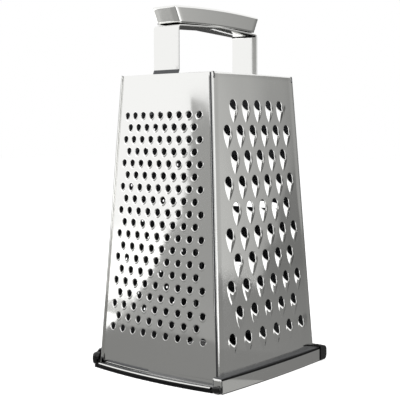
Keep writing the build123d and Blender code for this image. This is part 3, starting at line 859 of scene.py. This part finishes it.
# %% [markdown]
# The path is the strap's outer side, as depth and height. It is almost the same at both ends;
# the front tab only reaches a little farther out. The open ends are filled, and just above the
# front rim the strap gets a dark band of painted shade where it meets the panel.
# %% The handle strap
tab_foot, rim_level, step_level = 183.0, 195.4, 197.4
upright, shoulder_level, crown_level = 42.5, 226.4, 228.3
strap_points = [
    (-43.93, tab_foot), (-43.4, rim_level), (-upright, step_level), (-upright, shoulder_level),
    (0.0, crown_level),
    (upright, shoulder_level), (upright, step_level), (42.3, rim_level), (42.85, tab_foot),
]
strap_path = round_corners(strap_points, radius=2.4, steps=7)
handle_strap = make_piece(
    "handle_strap_bent", carry(strap_path, section), tube_faces(len(strap_path), len(section)),
    [handle_steel, rolled_steel_and_shade], "handle_strap", outward=True,
)
strap_shell = bmesh.new()
strap_shell.from_mesh(handle_strap.data)
bmesh.ops.holes_fill(strap_shell, edges=strap_shell.edges, sides=0)
bmesh.ops.recalc_face_normals(strap_shell, faces=strap_shell.faces)
strap_shell.to_mesh(handle_strap.data)
strap_shell.free()
strap_shade_low, strap_shade_high = 192.0, 197.6
depth, height = face_arrays(handle_strap)[0].T[1:]
# Painted shade: a dark band on the front upright just above the rim
paint_shade_on(handle_strap, (depth < 0) & (height > strap_shade_low) & (height < strap_shade_high))

# %% [markdown]
# The grip is a pressed sheet cover that flares upward, open below, with softly rounded edges.
# Its wall is a stack of rounded rectangles from the foot up, and the stack then closes over.
# A scaled cube could flare too, but its foot and its top could not arch by different amounts.
# %% One loop of the grip
grip_half, grip_corner, grip_edge, grip_sheet = 10.3, 1.6, 1.5, 0.8
grip_foot_reach, grip_flare, grip_top_reach = 40.0, 5.5, 45.0
grip_foot_level, grip_foot_arch = 227.45, 0.9
grip_top_level, grip_top_arch = 238.4, 1.6
grip_short_steps, grip_long_steps = 6, 26


def grip_loop(half_x, half_y, radius):
    """A rounded rectangle, anticlockwise from above: quarter arcs joined by divided sides."""
    turn = np.linspace(0, math.pi / 2, 5)
    arcs = []
    for quarter, sx, sy in ((0, 1, 1), (1, -1, 1), (2, -1, -1), (3, 1, -1)):
        angle = turn + quarter * math.pi / 2
        arc = np.stack([np.cos(angle), np.sin(angle)], axis=1) * radius
        arcs.append(arc + np.array([sx * (half_x - radius), sy * (half_y - radius)]))
    loop = []
    for quarter, arc in enumerate(arcs):
        after = arcs[(quarter + 1) % 4][0]
        share = np.linspace(0, 1, grip_long_steps if quarter % 2 else grip_short_steps)[1:-1, None]
        loop += [arc, arc[-1] + (after - arc[-1]) * share]
    return np.concatenate(loop)


def grip_level(half_x, half_y, radius, climb, sink):
    """One loop of the stack; its height follows the foot's and the top's own arches."""
    loop = grip_loop(half_x, half_y, radius)
    foot_share = np.clip(loop[:, 1] / grip_foot_reach, -1, 1)
    top_share = np.clip(loop[:, 1] / (grip_foot_reach + grip_flare), -1, 1)
    foot_z = grip_foot_level + grip_foot_arch * (1 - foot_share**2)
    top_z = grip_top_level + grip_top_arch * (1 - top_share**2)
    z = foot_z + (top_z - foot_z) * climb - sink
    return np.concatenate([loop, z[:, None]], axis=1)


print("points round the grip", len(grip_loop(grip_half, grip_foot_reach, grip_corner)))

# %% [markdown]
# Seven loops make the flaring wall, five turn the upper edge, and the last three close the
# top, where the innermost one has no width and its two sides merge into one line.
# %% The grip cover
wall_share, least_corner = 0.86, 0.12
levels = []
for climb in np.linspace(0, wall_share, 7):
    reach = grip_foot_reach + grip_flare * climb
    levels.append(grip_level(grip_half, reach, grip_corner, climb, 0.0))
for turn in np.linspace(0, math.pi / 2, 6)[1:]:
    inset = grip_edge * (1 - math.cos(turn))
    sink = grip_edge * (1 - math.sin(turn))
    corner = max(grip_corner - inset, least_corner)
    levels.append(grip_level(grip_half - inset, grip_top_reach - inset, corner, 1.0, sink))
for share in (0.66, 0.33, 0.0):
    reach = (grip_top_reach - grip_edge) * (0.9 + 0.1 * share)
    levels.append(grip_level((grip_half - grip_edge) * share, reach, 0.0, 1.0, 0.0))
grip_points = np.stack(levels)
grip_cover = make_piece(
    "grip_cover_pressed", grip_points, tube_faces(*grip_points.shape[:2]),
    [handle_steel, rolled_steel_and_shade], "grip_cover",
)
thicken(grip_cover, grip_sheet, quality_normals=False)


# %% [markdown]
# At the two front corners of the foot the black strip ends in rounded bulbs. The left one
# closes the corner beside the front panel; the near one is low, and a small steel cover stands
# over it. A superellipsoid, a ball pressed into a box, gives their soft corners in one formula.
# %% The rounded end pieces
def rounded_block(low, high, power, around, up):
    """A box with rounded edges: each coordinate of a unit ball is raised to 2 / power."""
    turn = np.linspace(0, 2 * math.pi, around + 1)[None, :]
    climb = np.linspace(-math.pi / 2, math.pi / 2, up + 1)[:, None]

    def bend(value):
        return np.sign(value) * np.abs(value) ** (2 / power)

    unit = np.stack([
        bend(np.cos(climb)) * bend(np.cos(turn)), bend(np.cos(climb)) * bend(np.sin(turn)),
        bend(np.sin(climb)) * np.ones_like(turn),
    ], axis=-1)
    low, high = np.array(low), np.array(high)
    return (low + high) / 2 + unit * (high - low) / 2


# The lowest left front corner and the highest right back corner of each bulb
bulb_boxes = {
    "end_plug_left": ((-57.2, -55.2, 0.05), (-52.2, -48.6, 8.4)),
    "end_plug_right": ((50.8, -59.3, 0.05), (57.2, -56.4, 4.6)),
}
for name, (low, high) in bulb_boxes.items():
    bulb_points = rounded_block(low, high, power=3.0, around=32, up=16)
    make_piece(
        f"{name}_bulb", bulb_points, grid_faces(*bulb_points.shape[:2]),
        [end_plastic], name, outward=True,
    )

# %% [markdown]
# The steel cover over the near corner closes the end of the front panel's lip. It is one small
# upright plate, dull on its cut edges.
# %% The corner cover
cover_front = -56.62
cover_x, cover_z = np.meshgrid(np.linspace(49.9, 56.3, 5), np.linspace(2.2, 8.8, 5))
cover = make_piece(
    "front_panel_corner", np.stack([cover_x, np.full(cover_x.shape, cover_front), cover_z], axis=-1),
    grid_faces(*cover_x.shape), [panel_steel, rolled_steel_and_shade], None,
)
thicken(cover, dull_rim=True)

# %% [markdown]
# The moulded foot, the steel rims and the caps of the back bar keep their CAD shapes and only
# get their finish here: a CAD node's own mesh is never changed.
# %% Finish the carried-over CAD nodes
finishes = {
    "base_frame": strip_plastic,
    "rim_band_right": rim_steel, "rim_band_left": rim_steel, "rim_bar_back": rim_steel,
    "bar_cap_right": end_plastic, "bar_cap_left": end_plastic,
}
for name, material in finishes.items():
    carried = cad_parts[name]
    carried.data.materials.clear()
    carried.data.materials.append(material)
    print("finished", name)


# %% [markdown]
# Polished steel shows its surroundings more than itself. The room here is plain white to the
# camera and in every reflection, and a good deal dimmer as a light, so that the white does
# not wash out the shadow on the floor. Light Path tells the two uses apart.
# %% The white room
room_light = 0.55


def seen_directly(tree):
    """A socket that is 1 for what the camera, a mirror or glass sees, and 0 for light."""
    path = node(tree, "ShaderNodeLightPath")
    mirror = node(tree, "ShaderNodeMath", settings={"operation": "MAXIMUM"},
                  links={0: path.outputs["Is Camera Ray"], 1: path.outputs["Is Glossy Ray"]})
    glass = node(tree, "ShaderNodeMath", settings={"operation": "MAXIMUM"},
                 links={0: mirror.outputs[0], 1: path.outputs["Is Transmission Ray"]})
    return glass.outputs[0]


world = bpy.data.worlds.new("white room")
bpy.context.scene.world = world
world.use_nodes = True
tree = world.node_tree
tree.nodes.clear()
level = node(tree, "ShaderNodeMapRange", To_Min=room_light, To_Max=1.0,
             links={"Value": seen_directly(tree)})
sky = node(tree, "ShaderNodeBackground", Color=linear("#ffffff"),
           links={"Strength": level.outputs["Result"]})
output = tree.nodes.new("ShaderNodeOutputWorld")
tree.links.new(sky.outputs["Background"], output.inputs["Surface"])
print("white room made")

# %% [markdown]
# The floor is pale and matt, with a little glow of its own where it is seen, so that it meets
# the white room without an edge. Under the open box the glow is left out: there the floor
# stays as dark as the light through the holes leaves it.
# %% The floor
floor_half = 4.0
floor_glow = 0.55
dark_inside, light_outside = 0.046, 0.052

floor_material, tree, output = new_material("pale_floor")
matt = node(tree, "ShaderNodeBsdfDiffuse", Color=linear("#f3f3f3"))
place = node(tree, "ShaderNodeTexCoord")
off_centre = node(tree, "ShaderNodeVectorMath", settings={"operation": "ABSOLUTE"},
                  links={0: place.outputs["Object"]})
sides = node(tree, "ShaderNodeSeparateXYZ", links={"Vector": off_centre.outputs["Vector"]})
farther = node(tree, "ShaderNodeMath", settings={"operation": "MAXIMUM"},
               links={0: sides.outputs["X"], 1: sides.outputs["Y"]})
outside = node(tree, "ShaderNodeMapRange", From_Min=dark_inside, From_Max=light_outside,
               To_Min=0.0, To_Max=floor_glow, links={"Value": farther.outputs[0]})
lift = node(tree, "ShaderNodeMath", settings={"operation": "MULTIPLY"},
            links={0: seen_directly(tree), 1: outside.outputs["Result"]})
glow = node(tree, "ShaderNodeEmission", Color=linear("#ffffff"), links={"Strength": lift.outputs[0]})
both = node(tree, "ShaderNodeAddShader", links={0: matt.outputs["BSDF"], 1: glow.outputs["Emission"]})
tree.links.new(both.outputs["Shader"], output.inputs["Surface"])

floor_mesh = bpy.data.meshes.new("pale_floor")
floor_corners = [(x * floor_half, y * floor_half, 0) for x, y in ((-1, -1), (1, -1), (1, 1), (-1, 1))]
floor_mesh.from_pydata(floor_corners, [], [(0, 1, 2, 3)])
floor_mesh.materials.append(floor_material)
floor = bpy.data.objects.new("pale_floor", floor_mesh)
bpy.context.scene.collection.objects.link(floor)
print("floor made")


# %% [markdown]
# Grey cards that only reflections can see give the steel its darker parts, as flags round a
# shiny object do in a studio. Each card glows in its own grey, which may change evenly from
# left to right, so no lamp can lighten it.
# %% A grey card
card_tint = linear("#fffffd")


def grey_card(name, corners_mm, grey_left, grey_right):
    """A four-cornered card that only mirror reflections see; its grey changes from left to right.

    Corners: lower left, lower right, upper right, upper left, as the grater sees the card.
    """
    material, tree, output = new_material(name)
    place = node(tree, "ShaderNodeTexCoord")
    split = node(tree, "ShaderNodeSeparateXYZ", links={"Vector": place.outputs["UV"]})
    level = node(tree, "ShaderNodeMapRange", To_Min=grey_left, To_Max=grey_right,
                 links={"Value": split.outputs["X"]})
    glow = node(tree, "ShaderNodeEmission", Color=card_tint, links={"Strength": level.outputs["Result"]})
    tree.links.new(glow.outputs["Emission"], output.inputs["Surface"])
    mesh = bpy.data.meshes.new(name)
    mesh.from_pydata((np.array(corners_mm) * MM).tolist(), [], [(0, 1, 2, 3)])
    layer = mesh.uv_layers.new(name="UVMap")
    layer.data.foreach_set("uv", [0, 0, 1, 0, 1, 1, 0, 1])
    mesh.materials.append(material)
    card = bpy.data.objects.new(name, mesh)
    bpy.context.scene.collection.objects.link(card)
    card.visible_camera = False
    card.visible_diffuse = False
    card.visible_shadow = False
    card.visible_transmission = False
    print("card", name)


def card_point(towards, across, height, distance):
    """A point that far from the grater in one direction, moved to the right and up."""
    towards = np.array([*towards, 0.0]) / np.linalg.norm(towards)
    right = np.cross(towards, UP)
    return towards * distance + right * across + UP * height


def stand_card(name, way, spots, grey_left, grey_right, distance=900.0):
    """An upright card at one distance; a spot is how far right and how high a corner is."""
    corners = [card_point(way, across, height, distance) for across, height in spots]
    grey_card(name, corners, grey_left, grey_right)


def lay_card(name, way, spots, grey_left, grey_right, height=0.7):
    """A card just above the floor; a spot is how far right and how far away a corner is."""
    corners = [card_point(way, across, height, distance) for across, distance in spots]
    grey_card(name, corners, grey_left, grey_right)


# %% [markdown]
# Where each card goes was worked out backward, from the camera through the panel's mirror.
# The front panel shows a flag with a slanted edge, whose bright side is the white room, and
# near its foot the grey of the floor.
# %% Cards that the front panel shows
LEFT_WAY = (-0.53, -0.848)
stand_card("flag_front_low", LEFT_WAY, [(145, -5), (-900, -5), (-900, 150), (-70, 150)], 0.35, 0.30)
stand_card("flag_front_high", LEFT_WAY, [(-70, 150), (-900, 150), (-900, 288), (-80, 282)], 0.35, 0.30)
lay_card("floor_card_front_near", LEFT_WAY, [(60, 22), (-600, 22), (-600, 250), (95, 250)], 0.235, 0.27)
lay_card("floor_card_grip", LEFT_WAY, [(210, 330), (92, 330), (92, 480), (210, 480)], 0.6, 0.6)
lay_card("floor_card_back", (-0.638, 0.77), [(300, 75), (-300, 75), (-300, 900), (300, 900)], 0.05, 0.05)
behind_corners = [(-400, 75, 0.3), (60, 75, 0.3), (470, 900, 0.3), (-400, 900, 0.3)]
grey_card("floor_card_behind", behind_corners, 0.07, 0.07)
lay_card("floor_card_front_far", LEFT_WAY, [(95, 250), (-900, 250), (-900, 900), (150, 900)], 0.36, 0.27)

# %% [markdown]
# The right panel shows a wide backdrop, lighter toward the near seam and darker below a
# slanted edge. Two low cards beside it are what the steel band and the panel's foot reflect.
# %% Cards that the right panel shows
RIGHT_WAY = (0.6, 0.8)
stand_card("flag_right", RIGHT_WAY, [(260, -5), (-240, -5), (-240, 520), (260, 520)], 0.59, 0.16)
stand_card("flag_right_low", RIGHT_WAY, [(80, -5), (-400, -5), (-400, 330), (-130, 140)], 0.19, 0.13, 880.0)
lay_card("floor_card_right", RIGHT_WAY, [(90, 22), (-150, 22), (-190, 880), (250, 880)], 0.25, 0.16)
grey_card("floor_card_band", [(56.2, -90, 0.4), (56.2, 75, 0.4), (84, 75, 0.4), (84, -90, 0.4)], 0.45, 0.36)
grey_card("floor_card_side", [(84, -300, 0.9), (84, 75, 0.9), (175, 75, 0.9), (175, -300, 0.9)], 0.24, 0.22)

# %% [markdown]
# Two dark flags stand where only the right flanks of the teeth, the seam's bend and the
# underside of the grip look, so that these small forms stand out from the light sheet.
# %% Cards that the small forms show
stand_card("flag_back", (-0.15, 1.0), [(600, -5), (-900, -5), (-900, 460), (600, 460)], 0.08, 0.06)
stand_card("flag_seam", (0.08, -1.0), [(170, -5), (-170, -5), (-170, 520), (170, 520)], 0.05, 0.05)


# %% [markdown]
# Two large soft lamps light the plastic and the floor at a plain level. Reflections leave them
# out, because in polished steel a round lamp would show as a bright disc.
# %% Soft lamps
def soft_lamp(name, place, size, power):
    """An area lamp that looks at the middle of the grater."""
    data = bpy.data.lights.new(name, "AREA")
    data.shape = "DISK"
    data.size = size
    data.energy = power
    lamp = bpy.data.objects.new(name, data)
    lamp.location = place
    aim = Vector((0, 0, 0.1)) - Vector(place)
    lamp.rotation_euler = aim.to_track_quat("-Z", "Y").to_euler()
    bpy.context.scene.collection.objects.link(lamp)
    lamp.visible_glossy = False


soft_lamp("key", place=(-1.0, -1.4, 1.6), size=1.4, power=22.0)
soft_lamp("fill", place=(1.6, -0.2, 1.5), size=1.4, power=12.0)
print("lamps", len(bpy.data.lights))

# %% [markdown]
# The camera stands where the photograph was taken: about 40 degrees round the near corner,
# a little above the middle, looking almost level. The lens shift does the framing, so that
# the upright edges converge as they do in the photograph. Its place is in metres.
# %% Camera
camera_place = (0.4016, -0.4917, 0.1575)
turn, tip, roll = math.radians(39.65), math.radians(-1.06), math.radians(-0.12)
forward = Vector((-math.sin(turn) * math.cos(tip), math.cos(turn) * math.cos(tip), math.sin(tip)))
level_right = forward.cross(Vector((0, 0, 1))).normalized()
level_up = level_right.cross(forward)
right = level_right * math.cos(roll) + level_up * math.sin(roll)
above = level_up * math.cos(roll) - level_right * math.sin(roll)
camera_data = bpy.data.cameras.new("camera")
camera_data.sensor_width = 36.0
camera_data.lens = 83.79
camera_data.shift_x = -0.0029
camera_data.shift_y = -0.1273
camera = bpy.data.objects.new("camera", camera_data)
turned = Matrix((right, above, -forward)).transposed().to_4x4()
camera.matrix_world = Matrix.Translation(camera_place) @ turned
bpy.context.scene.collection.objects.link(camera)
bpy.context.scene.camera = camera
bpy.context.scene.view_settings.view_transform = "Standard"
print("camera looks along", tuple(forward))
